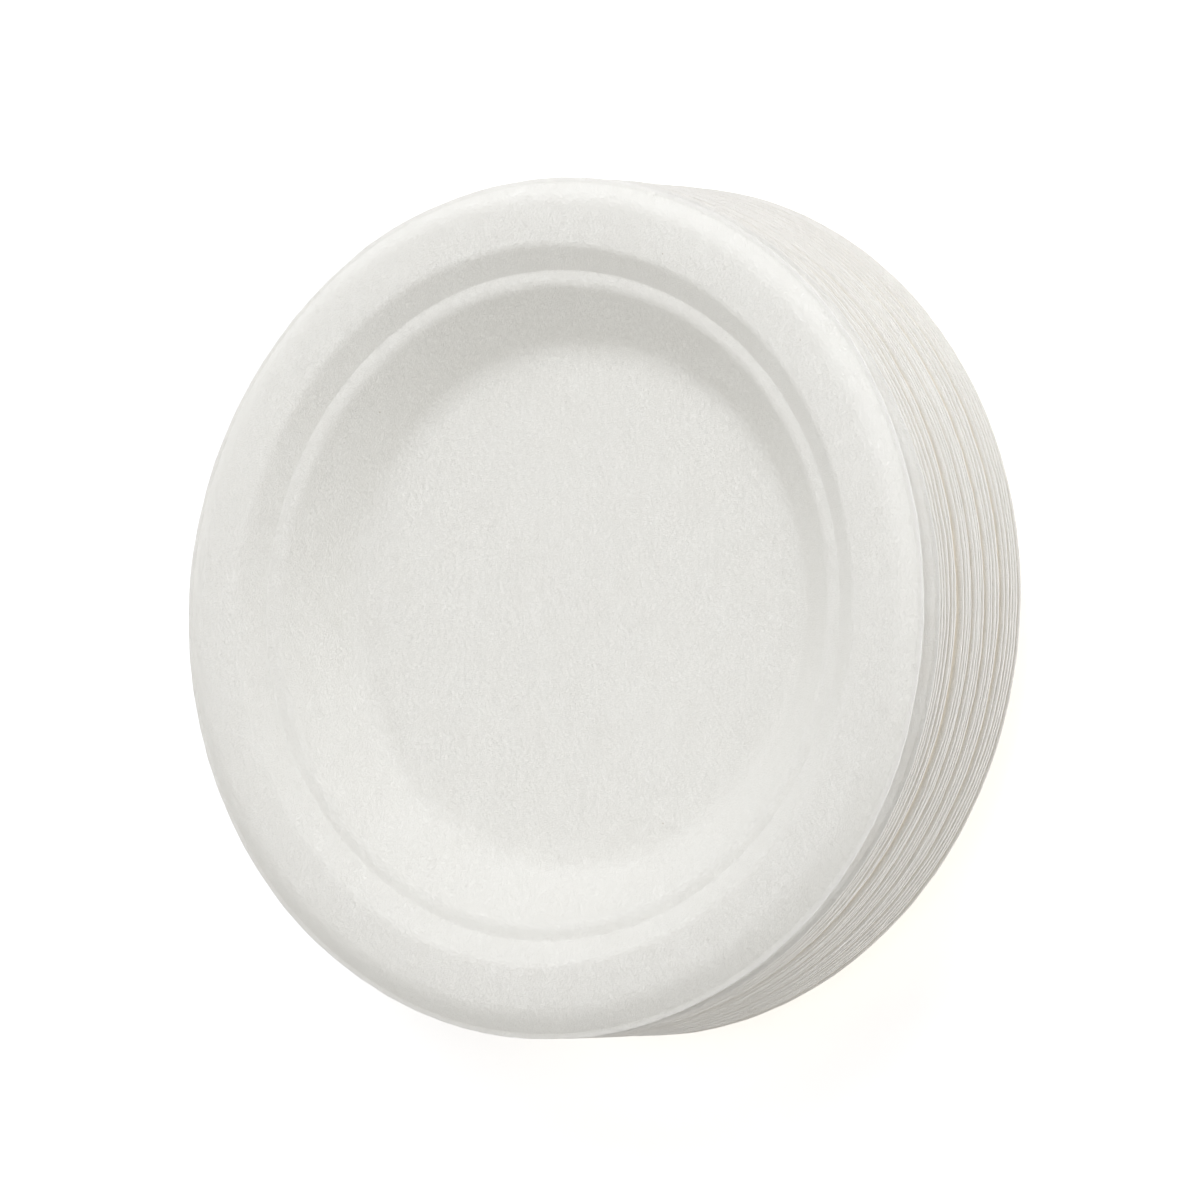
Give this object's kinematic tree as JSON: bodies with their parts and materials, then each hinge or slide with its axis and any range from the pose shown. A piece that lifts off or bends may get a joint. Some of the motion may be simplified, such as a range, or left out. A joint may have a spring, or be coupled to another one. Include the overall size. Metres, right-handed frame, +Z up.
{
  "type": "stack of paper plates",
  "caption": "Stack of round moulded-pulp paper plates, nested in each other, each with a flat floor, a level ledge round the well, a crowned rim and a rolled, flared lip.",
  "frame": {"origin": "middle of the underside of the lowest plate's floor, on the surface that the stack stands on", "axes": "+Z up through the stack; the plates' widest gaps show on the -Y side, the front; the stack leans slightly to -X"},
  "size_m": [0.1741, 0.1736, 0.0593],
  "materials": {
    "moulded_pulp": "matte pressed pulp with a fine felt-like fibre surface"
  },
  "bodies": {
    "root": {"plate_01": "moulded_pulp", "plate_02": "moulded_pulp", "plate_03": "moulded_pulp", "plate_04": "moulded_pulp", "plate_05": "moulded_pulp", "plate_06": "moulded_pulp", "plate_07": "moulded_pulp", "plate_08": "moulded_pulp", "plate_09": "moulded_pulp", "plate_10": "moulded_pulp", "plate_11": "moulded_pulp", "plate_12": "moulded_pulp", "plate_13": "moulded_pulp", "plate_14": "moulded_pulp", "plate_15": "moulded_pulp", "plate_16": "moulded_pulp", "plate_17": "moulded_pulp", "plate_18": "moulded_pulp", "plate_19": "moulded_pulp", "plate_20": "moulded_pulp", "plate_21": "moulded_pulp", "plate_22": "moulded_pulp", "plate_23": "moulded_pulp", "plate_24": "moulded_pulp", "plate_25": "moulded_pulp"}
  },
  "joints": []
}
